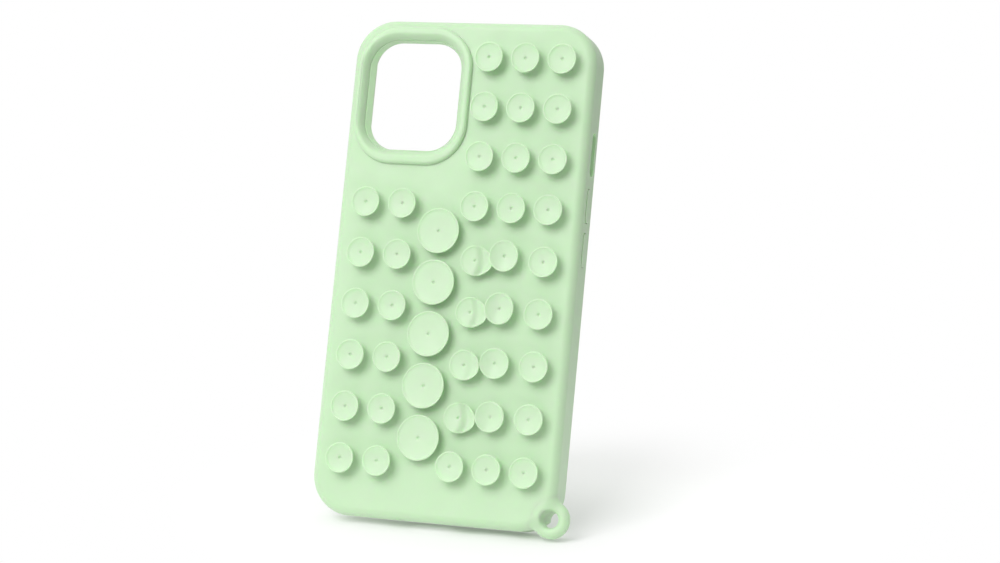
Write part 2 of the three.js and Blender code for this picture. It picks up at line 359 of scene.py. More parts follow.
def even_normals(piece: bpy.types.Object) -> None:
    """Keeps large flat faces flat in the shading beside the small faces of a rounded edge.

    Args:
        piece: what is shaded so.
    """
    modifier = piece.modifiers.new("even_normals", "WEIGHTED_NORMAL")
    modifier.keep_sharp = True
    modifier.weight = 100


def dress(piece: bpy.types.Object, finish: bpy.types.Material) -> None:
    """Gives a piece its material.

    Args:
        piece: what is dressed.
        finish: its material.
    """
    piece.data.materials.clear()
    piece.data.materials.append(finish)


def block(low: Vector, high: Vector) -> bmesh.types.BMesh:
    """Starts a bmesh with a box.

    Args:
        low: the box's lowest corner, in metres.
        high: its highest corner.

    Returns:
        The shape.
    """
    bm = bmesh.new()
    size, middle = high - low, (high + low) / 2
    matrix = Matrix.Translation(middle) @ Matrix.Diagonal((*size, 1))
    bmesh.ops.create_cube(bm, size=1, matrix=matrix)
    return bm


def round_edges(
    bm: bmesh.types.BMesh,
    chosen: Callable[[bmesh.types.BMEdge], bool],
    radius: float,
    segments: int,
) -> None:
    """Rounds the chosen edges.

    Args:
        bm: the shape.
        chosen: says whether an edge is rounded.
        radius: in metres.
        segments: faces across the rounding.
    """
    bmesh.ops.bevel(
        bm,
        geom=[e for e in bm.edges if chosen(e)],
        offset=radius,
        offset_type="OFFSET",
        segments=segments,
        profile=0.5,
        affect="EDGES",
        clamp_overlap=True,
        material=-1,
    )


def along(axis: int) -> Callable[[bmesh.types.BMEdge], bool]:
    """Makes a test that says whether an edge runs along one axis.

    Args:
        axis: 0, 1 or 2.

    Returns:
        The test.
    """

    def test(edge: bmesh.types.BMEdge) -> bool:
        """Says whether the edge runs along the axis."""
        span = edge.verts[0].co - edge.verts[1].co
        return abs(span[axis]) > 0.999 * span.length

    return test


def at_level(axis: int, level: float, angle: float = 25) -> Callable[[bmesh.types.BMEdge], bool]:
    """Makes a test that says whether an edge lies at one level and turns enough.

    Args:
        axis: the axis that the level is along.
        level: in metres.
        angle: how far the edge has to turn, in degrees.

    Returns:
        The test.
    """

    def test(edge: bmesh.types.BMEdge) -> bool:
        """Says whether the edge lies at the level and turns enough."""
        flat = all(abs(v.co[axis] - level) < SAME_LEVEL for v in edge.verts)
        return flat and abs(edge.calc_face_angle(0)) > math.radians(angle)

    return test


def rounded_block(
    low: Vector, high: Vector, axis: int, radius: float, segments: int
) -> bmesh.types.BMesh:
    """Makes a box whose edges along one axis are rounded.

    Args:
        low: its lowest corner.
        high: its highest corner.
        axis: the edges along this axis are rounded.
        radius: of the corners, in metres.
        segments: faces round each corner.

    Returns:
        The shape.
    """
    bm = block(low, high)
    round_edges(bm, along(axis), radius, segments)
    return bm


def end_face(bm: bmesh.types.BMesh, axis: int, side: int) -> bmesh.types.BMFace:
    """Finds the face at one end of a shape.

    Args:
        bm: the shape.
        axis: the axis that the face looks along.
        side: 1 for the face at the high end, -1 for the low end.

    Returns:
        The face furthest that way.
    """
    return max(
        bm.faces, key=lambda f: side * f.calc_center_median()[axis] + f.calc_area()
    )


def step_inwards(
    bm: bmesh.types.BMesh, face: bmesh.types.BMFace, steps: Iterable[tuple[float, float]]
) -> None:
    """Insets one face again and again, so that its edge follows a profile.

    Args:
        bm: the shape.
        face: the face; it stays the innermost one.
        steps: for each step, how far the edge moves inwards, and how far the face rises along its normal.
    """
    for thickness, depth in steps:
        bmesh.ops.inset_region(
            bm,
            faces=[face],
            thickness=thickness,
            depth=depth,
            use_even_offset=True,
            use_boundary=True,
        )


def carve(piece: bpy.types.Object, cutter: bpy.types.Object) -> None:
    """Cuts one object's shape out of another's mesh, and removes the cutter.

    Args:
        piece: what is cut; its mesh is replaced.
        cutter: the shape that is taken away.
    """
    modifier = piece.modifiers.new("cut", "BOOLEAN")
    modifier.operation = "DIFFERENCE"
    modifier.solver = "EXACT"
    modifier.object = cutter
    bpy.context.view_layer.update()
    ready = piece.evaluated_get(bpy.context.evaluated_depsgraph_get())
    cut = bpy.data.meshes.new_from_object(ready)
    piece.modifiers.remove(modifier)
    piece.data = cut
    bpy.data.objects.remove(cutter)


def ease(share: float) -> float:
    """Eases a share from 0 to 1, flat at both ends."""
    share = min(max(share, 0.0), 1.0)
    return share * share * (3 - 2 * share)


# ------------------------------------------------------------------------------------------------- shell


@dataclass
class Shell:
    """The case's body: back panel, side walls and front lip, moulded in one."""

    finish: bpy.types.Material
    side_wall: float = 2.3
    end_wall: float = 1.85
    back_thickness: float = 2.0
    lip_overhang: float = 1.3
    corner_radius: float = 12.3
    back_rounding: float = 2.7
    lip_rounding: float = 0.9
    floor_rounding: float = 0.8
    rim_rounding: float = 0.3
    corner_segments: int = 28
    cutter_reach: float = 6.0

    def __post_init__(self) -> None:
        """Takes the outline from the frame."""
        low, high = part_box("side_frame")
        self.right, self.top, self.back = high.x, high.z, low.y
        self.pocket_depth = high.y
        self.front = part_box("front_lip")[1].y

    def slab(self, under: float = 0.0) -> bpy.types.Object:
        """Makes the solid outside: a slab with round corners and softened edges.

        Args:
            under: how far under the case's own surface it lies, in metres.

        Returns:
            The slab.
        """
        corner = Vector((self.right - under, 0, self.top - under))
        bm = rounded_block(
            Vector((-corner.x, self.back + under, -corner.z)),
            Vector((corner.x, self.front - under, corner.z)),
            1,
            self.corner_radius * MM - under,
            self.corner_segments,
        )
        back, front = self.back + under, self.front - under
        round_edges(bm, at_level(1, back), self.back_rounding * MM - under, 10)
        round_edges(bm, at_level(1, front), self.lip_rounding * MM - under, 6)
        return finish_mesh(bm, "case_shell")

    def pocket(self, margin: float = 0.0) -> bpy.types.Object:
        """Makes the shape of the phone's pocket, with the narrower mouth inside the lip.

        Args:
            margin: how far outside the pocket's own surface it lies, in metres.

        Returns:
            The cutting shape.
        """
        wall, end = self.side_wall * MM - margin, self.end_wall * MM - margin
        radius = (self.corner_radius - self.side_wall) * MM + margin
        bm = rounded_block(
            Vector((-self.right + wall, -margin, -self.top + end)),
            Vector((self.right - wall, self.pocket_depth, self.top - end)),
            1,
            radius,
            self.corner_segments,
        )
        mouth = end_face(bm, 1, 1)
        reach = self.cutter_reach * MM
        step_inwards(bm, mouth, [(self.lip_overhang * MM, 0.0)])
        out = bmesh.ops.extrude_face_region(bm, geom=[mouth])
        moved = [v for v in out["geom"] if isinstance(v, bmesh.types.BMVert)]
        bmesh.ops.delete(bm, geom=[mouth], context="FACES_ONLY")
        bmesh.ops.translate(bm, verts=moved, vec=(0, reach, 0))
        round_edges(bm, at_level(1, -margin), self.floor_rounding * MM, 4)
        return finish_mesh(bm, "pocket_cutter")

    def soften(self, piece: bpy.types.Object) -> None:
        """Rounds the rims of the openings where they meet a flat wall.

        Args:
            piece: the shell, already cut.
        """
        bm = bmesh.new()
        bm.from_mesh(piece.data)
        bmesh.ops.remove_doubles(bm, verts=bm.verts, dist=MERGE)
        for axis, level in ((0, self.right), (0, -self.right), (2, -self.top)):
            round_edges(bm, at_level(axis, level, 60), self.rim_rounding * MM, 3)
        smooth_but_sharp(bm)
        bm.to_mesh(piece.data)
        bm.free()

    def build(self, cutters: list[bpy.types.Object]) -> bpy.types.Object:
        """Builds the shell.

        Args:
            cutters: what is cut out of it besides the pocket.

        Returns:
            The finished piece.
        """
        piece = self.slab()
        for cutter in (self.pocket(), *cutters):
            carve(piece, cutter)
        self.soften(piece)
        even_normals(piece)
        dress(piece, self.finish)
        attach(piece, SHELL)
        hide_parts("back_panel", "side_frame", "front_lip")
        return piece


@dataclass
class WallOpenings:
    """The slots through the side walls and the bottom wall."""

    shell: Shell
    switch_top: float = 29.6
    switch_length: float = 13.2
    switch_width: float = 3.6
    switch_depth: float = 4.4
    phone_height: float = 146.7
    button_gap: float = 0.3
    port_width: float = 13.0
    port_height: float = 5.6
    speaker_length: float = 11.8
    speaker_height: float = 3.0
    speaker_space: float = 7.6

    def slot(self, low: Vector, high: Vector, axis: int) -> bmesh.types.BMesh:
        """Makes a slot with round ends.

        Args:
            low: its lowest corner, in metres.
            high: its highest corner.
            axis: the axis that it is cut along.

        Returns:
            The cutting shape.
        """
        size = high - low
        across = min(size[i] for i in range(3) if i != axis)
        return rounded_block(low, high, axis, across / 2 * ROUND_END, 10)

    def side_slot(
        self, side: int, depth: float, middle: float, width: float, length: float
    ) -> bmesh.types.BMesh:
        """Makes a slot through a side wall.

        Args:
            side: 1 for the wall at high X, -1 for the other.
            depth: the slot's centre along Y, in metres.
            middle: its centre along Z.
            width: across it.
            length: along it.

        Returns:
            The cutting shape.
        """
        reach = self.shell.cutter_reach * MM
        near, far = sorted((side * (self.shell.right - reach), side * (self.shell.right + reach)))
        return self.slot(
            Vector((near, depth - width / 2, middle - length / 2)),
            Vector((far, depth + width / 2, middle + length / 2)),
            0,
        )

    def bottom_slot(self, middle: float, width: float, height: float) -> bmesh.types.BMesh:
        """Makes a slot through the bottom wall.

        Args:
            middle: its centre along X, in metres.
            width: along X.
            height: along Y.

        Returns:
            The cutting shape.
        """
        reach = self.shell.cutter_reach * MM
        depth = self.shell.pocket_depth / 2
        bottom = -self.shell.top
        return self.slot(
            Vector((middle - width / 2, depth - height / 2, bottom - reach)),
            Vector((middle + width / 2, depth + height / 2, bottom + reach)),
            2,
        )

    def cutters(self) -> list[bpy.types.Object]:
        """Makes every cutting shape of the walls."""
        made = []
        middle = self.phone_height / 2 - self.switch_top - self.switch_length / 2
        made.append(
            self.side_slot(
                1,
                self.switch_depth * MM,
                middle * MM,
                self.switch_width * MM,
                self.switch_length * MM,
            )
        )
        for node in ("volume_up_cover", "volume_down_cover", "power_cover"):
            low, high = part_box(node)
            centre, size = (low + high) / 2, high - low
            gap = 2 * self.button_gap * MM
            side = 1 if centre.x > 0 else -1
            made.append(self.side_slot(side, centre.y, centre.z, size.y + gap, size.z + gap))
        made.append(self.bottom_slot(0, self.port_width * MM, self.port_height * MM))
        beside = self.port_width / 2 + self.speaker_space + self.speaker_length / 2
        for side in (-1, 1):
            made.append(
                self.bottom_slot(
                    side * beside * MM, self.speaker_length * MM, self.speaker_height * MM
                )
            )
        return [finish_mesh(bm, f"slot_cutter_{i}") for i, bm in enumerate(made)]


# ------------------------------------------------------------------------------------------- camera ring


@dataclass(frozen=True)
class Rim:
    """How far one outline of the ring stands outside the window, on each side, in millimetres."""

    left: float
    right: float
    low: float
    high: float

    def toward(self, other: "Rim", share: float) -> "Rim":
        """Gives the outline that lies a share of the way to another."""
        pairs = zip(astuple(self), astuple(other))
        return Rim(*(a + (b - a) * share for a, b in pairs))

    def grown(self, by: float) -> "Rim":
        """Gives the outline that lies evenly outside this one."""
        return Rim(*(a + by for a in astuple(self)))


@dataclass
class CameraRing:
    """The raised bead round the camera window, with its sloping inner wall and parting seam."""

    finish: bpy.types.Material
    foot: Rim = Rim(4.6, 4.6, 4.6, 4.6)
    brow: Rim = Rim(3.19, 2.59, 1.9, 2.26)
    seam: Rim = Rim(1.57, 0.97, 0.3, 0.64)
    opening: Rim = Rim(0.0, 0.5, 0.0, 0.0)
    sleeve: float = 2.3
    clearance: float = 0.03
    embed: float = 0.3
    outer_rounding: float = 1.05
    brow_rounding: float = 0.5
    seam_height: float = 1.53
    seam_cut: float = 0.34
    window_radius: float = 8.0
    corner_steps: int = 20
    arc_steps: int = 7

    def __post_init__(self) -> None:
        """Takes the ring's place from the frame."""
        low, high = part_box("camera_ring")
        self.low, self.high, self.crest = low, high, low.y
        self.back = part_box("back_panel")[0].y

    def outline(self, rim: Rim, height: float) -> list[Vector]:
        """Walks once round the window.

        Args:
            rim: how far outside the window, in millimetres.
            height: above the pocket's floor, in millimetres.

        Returns:
            The outline's points, in metres.
        """
        out = self.foot.left
        left = self.low.x + (out - rim.left) * MM
        right = self.high.x - (out - rim.right) * MM
        low = self.low.z + (out - rim.low) * MM
        high = self.high.z - (out - rim.high) * MM
        radius = (self.window_radius + sum(astuple(rim)) / 4) * MM
        corners = (
            (right - radius, high - radius, 0.0),
            (left + radius, high - radius, 0.25),
            (left + radius, low + radius, 0.5),
            (right - radius, low + radius, 0.75),
        )
        points = []
        for x, z, start in corners:
            for i in range(self.corner_steps + 1):
                angle = math.tau * (start + 0.25 * i / self.corner_steps)
                points.append(
                    Vector((x + radius * math.cos(angle), -height * MM, z + radius * math.sin(angle)))
                )
        return points

    def cutter(self) -> bpy.types.Object:
        """Makes the hole in the panel that the ring's sleeve fits."""
        out = self.sleeve + self.clearance
        edge = Rim(out, out, out, out)
        bm = bmesh.new()
        near, far = (
            [bm.verts.new(point) for point in self.outline(edge, height)] for height in (8.0, -5.0)
        )
        bm.faces.new(near)
        bm.faces.new(far)
        for i, vert in enumerate(near):
            bm.faces.new((near[i - 1], vert, far[i], far[i - 1]))
        bmesh.ops.remove_doubles(bm, verts=bm.verts, dist=MERGE)
        bmesh.ops.recalc_face_normals(bm, faces=bm.faces)
        return finish_mesh(bm, "window_cutter")

    def section(self) -> list[tuple[Rim, float]]:
        """Gives the bead's section, from its outer foot over the crest to the opening and back.

        Returns:
            Outlines with their heights above the pocket's floor, in millimetres.
        """
        top, panel = -self.crest / MM, -self.back / MM
        sleeve = Rim(self.sleeve, self.sleeve, self.sleeve, self.sleeve)
        walk = [(self.foot, panel - self.embed)]
        outer = self.outer_rounding
        for i in range(self.arc_steps + 1):
            angle = math.pi / 2 * i / self.arc_steps
            inwards, down = outer * (1 - math.cos(angle)), outer * (1 - math.sin(angle))
            walk.append((self.foot.grown(-inwards), top - down))
        rounding, drop = self.brow_rounding, top - self.seam_height
        before, share = self.brow.grown(rounding), rounding / 1.6
        after = self.brow.toward(self.seam, share)
        for i in range(self.arc_steps + 1):
            t = i / self.arc_steps
            edge = before.toward(self.brow, t).toward(self.brow.toward(after, t), t)
            walk.append((edge, top - drop * share * t * t))
        seam, cut, level = self.seam, self.seam_cut, self.seam_height
        walk += [
            (seam.grown(0.16), level + 0.16),
            (seam.grown(0.1), level - cut * 0.5),
            (seam.grown(0.06), level - cut),
            (seam.grown(-0.08), level - cut),
            (seam.grown(-0.16), level - cut * 0.55),
            (seam.toward(self.opening, 0.8), level * 0.22),
            (self.opening.grown(0.05), 0.1),
            (self.opening, 0.0),
            (sleeve, 0.0),
            (sleeve, panel - self.embed),
        ]
        return walk

    def build(self) -> bpy.types.Object:
        """Builds the ring and seats it in the panel."""
        bm = bmesh.new()
        loops = [
            [bm.verts.new(point) for point in self.outline(rim, height)]
            for rim, height in self.section()
        ]
        for k, loop in enumerate(loops):
            last = loops[k - 1]
            for i, vert in enumerate(loop):
                bm.faces.new((last[i - 1], last[i], vert, loop[i - 1]))
        bmesh.ops.remove_doubles(bm, verts=bm.verts, dist=MERGE)
        bmesh.ops.recalc_face_normals(bm, faces=bm.faces)
        piece = finish_mesh(bm, "camera_ring_bead", 50)
        dress(piece, self.finish)
        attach(piece, SHELL)
        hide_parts("camera_ring")
        return piece


# ------------------------------------------------------------------------------------------ lanyard loop


def rounded(across: np.ndarray, deep: np.ndarray, radius: float) -> np.ndarray:
    """Gives the distance to a shape bounded by two walls that meet in a rounded edge.

    Args:
        across: the distance to one wall.
        deep: the distance to the other.
        radius: of the edge.

    Returns:
        The distance, below 0 inside.
    """
    a, b = across + radius, deep + radius
    outside = np.hypot(np.maximum(a, 0), np.maximum(b, 0))
    return np.minimum(np.maximum(a, b), 0) + outside - radius


def melted(a: np.ndarray, b: np.ndarray, reach: float) -> np.ndarray:
    """Gives the distance to two shapes that flow together.

    Args:
        a: the distance to one.
        b: the distance to the other.
        reach: over how far they flow together.

    Returns:
        The distance to both.
    """
    share = np.maximum(reach - np.abs(a - b), 0) / reach
    return np.minimum(a, b) - share * share * reach / 4


@dataclass
class LanyardLoop:
    """The round eye at the lower right corner, whose bar flows into the shell.

    Its skin follows a distance field: the shell's corner and a ring, melted together, less the pocket and
    the eye's hole, which drifts outwards and narrows as it goes deeper, to keep clear of the pocket.
    """

    finish: bpy.types.Material
    shell: Shell
    cad_hole: float = 2.7
    bar_radius: float = 1.8
    near_hole: float = 2.45
    near_shift: tuple[float, float] = (-0.39, 0.15)
    deep_hole: float = 2.3
    drift: tuple[float, float] = (-0.8, 1.2)
    melt: float = 2.4
    rim_melt: float = 0.7
    root_size: float = 12.0
    root_depth: float = 3.2
    recess_floor: float = 2.3
    recess_margin: float = 0.3
    under_skin: float = 0.06
    voxel: float = 0.17
    settle_rounds: int = 3
    hole_clearance: float = 0.03
    cut_behind: float = -10.0  # where a cutting post starts, well behind the case
    cut_ahead: float = 14.0
    post_overlap: float = 0.5
    ring_steps: int = 72
    section: int = 24

    def __post_init__(self) -> None:
        """Takes the loop's place from the frame."""
        low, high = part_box("lanyard_loop")
        self.outer = self.cad_hole + (high.y - low.y) / MM
        outer = self.outer * MM
        self.centre = Vector((high.x - outer, (low.y + high.y) / 2, low.z + outer))

    def post(
        self, radius: float, shift: tuple[float, float], span: tuple[float, float]
    ) -> bpy.types.Object:
        """Makes a round cutting post along Y.

        Args:
            radius: in millimetres.
            shift: of its axis from the eye's centre, along X and Z, in millimetres.
            span: its ends along Y, in millimetres.

        Returns:
            The cutting shape.
        """
        bm = bmesh.new()
        middle = Vector((shift[0], sum(span) / 2, shift[1])) * MM
        middle += Vector((self.centre.x, 0, self.centre.z))
        bmesh.ops.create_cone(
            bm,
            cap_ends=True,
            segments=64,
            radius1=radius * MM,
            radius2=radius * MM,
            depth=(span[1] - span[0]) * MM,
            matrix=Matrix.Translation(middle) @ Matrix.Rotation(math.pi / 2, 4, "X"),
        )
        return finish_mesh(bm, "eye_cutter")

    def cutters(self) -> list[bpy.types.Object]:
        """Makes what the shell loses round the eye: a wide recess behind it, and the hole beyond."""
        half = (self.near_shift[0] / 2, self.near_shift[1] / 2)
        wide = self.near_hole + self.recess_margin
        return [
            self.post(wide, half, (self.cut_behind, self.recess_floor)),
            self.post(
                self.deep_hole + self.hole_clearance,
                (0.0, 0.0),
                (self.recess_floor - self.post_overlap, self.cut_ahead),
            ),
        ]

    def rough(self) -> bpy.types.Object:
        """Makes the eye roughly: the shell's corner with a ring through it, as one skin."""
        shell, skin = self.shell, self.under_skin * MM
        slab = shell.slab(skin)
        carve(slab, shell.pocket(skin))
        size = self.root_size * MM
        bm = bmesh.new()
        bm.from_mesh(slab.data)
        for axis, level, side in (
            (0, shell.right - size, 1),
            (2, -shell.top + size, -1),
            (1, self.root_depth * MM, -1),
        ):
            normal, place = Vector(), Vector()
            normal[axis], place[axis] = -side, level
            geom = bm.verts[:] + bm.edges[:] + bm.faces[:]
            cut = bmesh.ops.bisect_plane(
                bm, geom=geom, plane_co=place, plane_no=normal, clear_outer=True
            )
            rim = [e for e in cut["geom_cut"] if isinstance(e, bmesh.types.BMEdge)]
            bmesh.ops.contextual_create(bm, geom=rim)
        bm.to_mesh(slab.data)
        bm.free()
        carve(slab, self.post(self.deep_hole, (0.0, 0.0), (-10.0, 10.0)))
        bm = bmesh.new()
        bm.from_mesh(slab.data)
        bpy.data.objects.remove(slab)
        middle = self.outer * MM - self.bar_radius * MM
        ring = bmesh.ops.create_circle(
            bm,
            segments=self.section,
            radius=self.bar_radius * MM,
            matrix=Matrix.Translation(self.centre + Vector((middle, 0, 0))),
        )
        bmesh.ops.spin(
            bm,
            geom=ring["verts"] + list({e for v in ring["verts"] for e in v.link_edges}),
            cent=self.centre,
            axis=(0, 1, 0),
            angle=math.tau,
            steps=self.ring_steps,
            use_merge=True,
        )
        bmesh.ops.remove_doubles(bm, verts=bm.verts, dist=MERGE)
        bmesh.ops.recalc_face_normals(bm, faces=bm.faces)
        return finish_mesh(bm, "lanyard_loop_rough")

    def field(self, points: np.ndarray) -> np.ndarray:
        """Gives the distance of points from the eye's skin.

        Args:
            points: one row for each point, in millimetres.

        Returns:
            The distances in millimetres, below 0 inside.
        """
        shell, skin = self.shell, self.under_skin
        x, y, z = points.T
        right, top, back = shell.right / MM, shell.top / MM, shell.back / MM

        def wall(inwards: float, ends: float, radius: float) -> np.ndarray:
            """Gives the distance to the outline moved inwards, at the sides and at the ends."""
            return rounded(np.abs(x) - right + inwards, np.abs(z) - top + ends, radius)

        slab = rounded(
            wall(skin, skin, shell.corner_radius - skin), back + skin - y, shell.back_rounding - skin
        )
        around = np.hypot(x - self.centre.x / MM, z - self.centre.z / MM)
        section = around - self.outer + self.bar_radius
        bar = np.hypot(section, y - self.centre.y / MM) - self.bar_radius
        side, end = shell.side_wall - skin, shell.end_wall - skin
        radius = shell.corner_radius - shell.side_wall + skin
        pocket = rounded(wall(side, end, radius), -skin - y, shell.floor_rounding)
        near, far = self.drift
        deep = np.clip((y - near) / (far - near), 0, 1)
        deep = deep * deep * (3 - 2 * deep)
        axis_x = self.centre.x / MM + self.near_shift[0] * (1 - deep)
        axis_z = self.centre.z / MM + self.near_shift[1] * (1 - deep)
        hole = self.near_hole + (self.deep_hole - self.near_hole) * deep
        tunnel = np.hypot(x - axis_x, z - axis_z) - hole
        solid = np.maximum(melted(slab, bar, self.melt), -pocket)
        solid = -melted(-solid, tunnel, self.rim_melt)
        size = self.root_size
        edges = (right - size - x, z + top - size, y - self.root_depth)
        return np.maximum.reduce([solid, *edges])

    def settle(self, points: np.ndarray) -> np.ndarray:
        """Moves points onto the skin, down the field's slope.

        Args:
            points: one row for each point, in millimetres.

        Returns:
            The moved points.
        """
        reach = 0.02
        for _ in range(4):
            level = self.field(points)
            slope = np.stack(
                [
                    (self.field(points + step) - self.field(points - step)) / (2 * reach)
                    for step in np.eye(3) * reach
                ],
                axis=1,
            )
            steep = np.maximum((slope * slope).sum(axis=1), 0.25)
            points = points - slope * np.clip(level / steep, -0.3, 0.3)[:, None]
        return points

    def build(self) -> bpy.types.Object:
        """Builds the eye: a rough skin of even faces, settled onto the field."""
        rough = self.rough()
        remesh = rough.modifiers.new("one_skin", "REMESH")
        remesh.mode = "VOXEL"
        remesh.voxel_size = self.voxel * MM
        bpy.context.view_layer.update()
        ready = rough.evaluated_get(bpy.context.evaluated_depsgraph_get())
        skin = bpy.data.meshes.new_from_object(ready)
        bpy.data.objects.remove(rough)
        bm = bmesh.new()
        bm.from_mesh(skin)
        bpy.data.meshes.remove(skin)
        for _ in range(self.settle_rounds):
            for _ in range(3):
                bmesh.ops.smooth_vert(
                    bm, verts=bm.verts, factor=0.5, use_axis_x=True, use_axis_y=True, use_axis_z=True
                )
            points = self.settle(np.array([v.co / MM for v in bm.verts]))
            for vert, point in zip(bm.verts, points):
                vert.co = Vector(point) * MM
        piece = finish_mesh(bm, "lanyard_loop_eye", ALL_SMOOTH)
        dress(piece, self.finish)
        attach(piece, SHELL)
        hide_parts("lanyard_loop")
        return piece


# --------------------------------------------------------------------------------------------- the cups


class Fold(Enum):
    """How a cup that has stuck to its neighbour is bent."""

    NONE = "none"
    CREASED = "creased"
    PULLED = "pulled"


@dataclass(frozen=True)
class Stuck:
    """How a pair of stuck cups differs from the drawing, in millimetres."""

    creased: tuple[float, float]  # how far the creased cup's head hangs aside, along X and Z
    pulled: tuple[float, float]
    flap: float
    crease: float
    stretch: float


@dataclass
class Cup:
    """One suction cup: foot, stem, flaring neck, thin lip and a shallow dish with a pin-prick."""

    node: str
    finish: bpy.types.Material
    column: float
    rng: random.Random
    stuck: Stuck | None = None
    fold: Fold = Fold.NONE
    dish_depth: float = 0.62
    lip: float = 0.55
    foot_height: float = 0.25
    pin_radius: float = 0.44
    pin_depth: float = 0.42
    steps: int = 32
    sink: float = 0.15
    wide: tuple[float, float] = (1.03, 1.06)
    hang: tuple[float, float] = (0.32, -0.36)

    def __post_init__(self) -> None:
        """Takes the cup's size and place from the frame."""
        low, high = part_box(self.node)
        self.radius = (high.z - low.z) / 2 / MM
        self.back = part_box("back_panel")[0].y
        self.height = (self.back - low.y) / MM
        self.row = (low.z + high.z) / 2
        self.lean = (low.x + high.x) / 2 - self.column

    def profile(self) -> list[tuple[float, float]]:
        """Gives the cup's section, from the dish's centre round the lip to the foot.

        Returns:
            Pairs of radius and height above the panel, in millimetres.
        """
        r, h, lip = self.radius, self.height, self.lip
        dish = h - self.dish_depth
        stem = 0.3 * r
        return [
            (0.0, dish - self.pin_depth),
            (self.pin_radius * 0.35, dish - self.pin_depth),
            (self.pin_radius * 0.75, dish - self.pin_depth * 0.55),
            (self.pin_radius, dish - self.pin_depth * 0.15),
            (self.pin_radius * 1.4, dish + 0.02),
            (r * 0.24, dish + 0.04),
            (r * 0.42, dish + 0.1),
            (r * 0.62, dish + 0.2),
            (r - 0.95, dish + 0.31),
            (r - 0.58, h - 0.22),
            (r - 0.38, h - 0.05),
            (r - 0.24, h),
            (r - 0.08, h - 0.03),
            (r, h - 0.16),
            (r, h - lip * 0.6),
            (r - 0.12, h - lip),
            (r * 0.86, h - lip - 0.3),
            (r * 0.68, h - lip - 0.85),
            (r * 0.5, h - lip - 1.35),
            (stem + 0.25, h - lip - 1.75),
            (stem, 0.75),
            (stem + 0.12, 0.4),
            (stem + 0.45, 0.1),
            (stem + 0.9, -0.02),
            (stem + 0.9, -self.sink),
            (0.0, -self.sink),
        ]

    def bend(self, bm: bmesh.types.BMesh) -> None:
        """Lets the soft head spread and hang, and folds it where it sticks to its neighbour.

        Args:
            bm: the upright cup.
        """
        wobble = Vector((self.rng.uniform(-1, 1), 0, self.rng.uniform(-1, 1))) * 0.012
        aside = Vector((self.hang[0], 0, self.hang[1])) * MM
        if self.fold is not Fold.NONE:
            more = self.stuck.creased if self.fold is Fold.CREASED else self.stuck.pulled
            aside += Vector((more[0], 0, more[1])) * MM
        aside.x += self.lean
        top = self.height * MM
        for vert in bm.verts:
            high = (self.back - vert.co.y) / top
            head = ease((high - 0.12) / 0.6)
            off = Vector((vert.co.x - self.column, 0, vert.co.z - self.row))
            vert.co += aside * head
            vert.co.x += off.x * (self.wide[0] - 1) * head
            vert.co.z += off.z * (self.wide[1] - 1) * head
            vert.co.y += off.dot(wobble) * head
            if self.fold is Fold.CREASED:
                self.crease(vert, off / (self.radius * MM), head)
            elif self.fold is Fold.PULLED:
                self.pull(vert, off / (self.radius * MM), head)

    def crease(self, vert: bmesh.types.BMVert, share: Vector, head: float) -> None:
        """Folds the dish along a curve, and draws the lip beyond it out to a flap, tucked in at its end.

        Args:
            vert: the vertex.
            share: its place across the cup, 1 at the lip.
            head: 1 on the cup's head, 0 at its foot.
        """
        across = share.x + 0.3 * share.z * share.z
        valley = math.exp(-(((across - 0.6) / 0.28) ** 2))
        rise = ease((across - 0.68) / 0.25)
        tuck = ease((share.x - 0.92) / 0.3)
        vert.co.y += self.stuck.crease * MM * valley * head
        vert.co.y -= (0.18 * rise - 0.6 * tuck) * MM * head
        drawn = ease((share.x - 0.45) / 0.5) * (1 - 0.45 * share.z)
        vert.co.x += self.stuck.flap * MM * drawn * head

    def pull(self, vert: bmesh.types.BMVert, share: Vector, head: float) -> None:
        """Stretches the cup that holds its neighbour's flap, and raises the side that lies on it.

        Args:
            vert: the vertex.
            share: its place across the cup, 1 at the lip.
            head: 1 on the cup's head, 0 at its foot.
        """
        vert.co.z += share.z * self.stuck.stretch * MM * head
        vert.co.y -= 0.55 * MM * ease((-share.x - 0.1) / 0.9) * head

    def build(self) -> bpy.types.Object:
        """Builds the cup over its CAD node."""
        bm = bmesh.new()
        verts = [
            bm.verts.new((self.column + r * MM, self.back - h * MM, self.row))
            for r, h in self.profile()
        ]
        edges = [bm.edges.new(pair) for pair in zip(verts, verts[1:])]
        bmesh.ops.spin(
            bm,
            geom=verts + edges,
            cent=(self.column, 0, self.row),
            axis=(0, 1, 0),
            angle=math.tau,
            steps=self.steps,
            use_merge=True,
        )
        bmesh.ops.remove_doubles(bm, verts=bm.verts, dist=MERGE)
        bmesh.ops.recalc_face_normals(bm, faces=bm.faces)
        self.bend(bm)
        piece = finish_mesh(bm, f"suction_{self.node}", ALL_SMOOTH)
        smooth = piece.modifiers.new("smooth", "SUBSURF")
        smooth.levels = smooth.render_levels = 1
        dress(piece, self.finish)
        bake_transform(piece)
        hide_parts(self.node)
        return piece


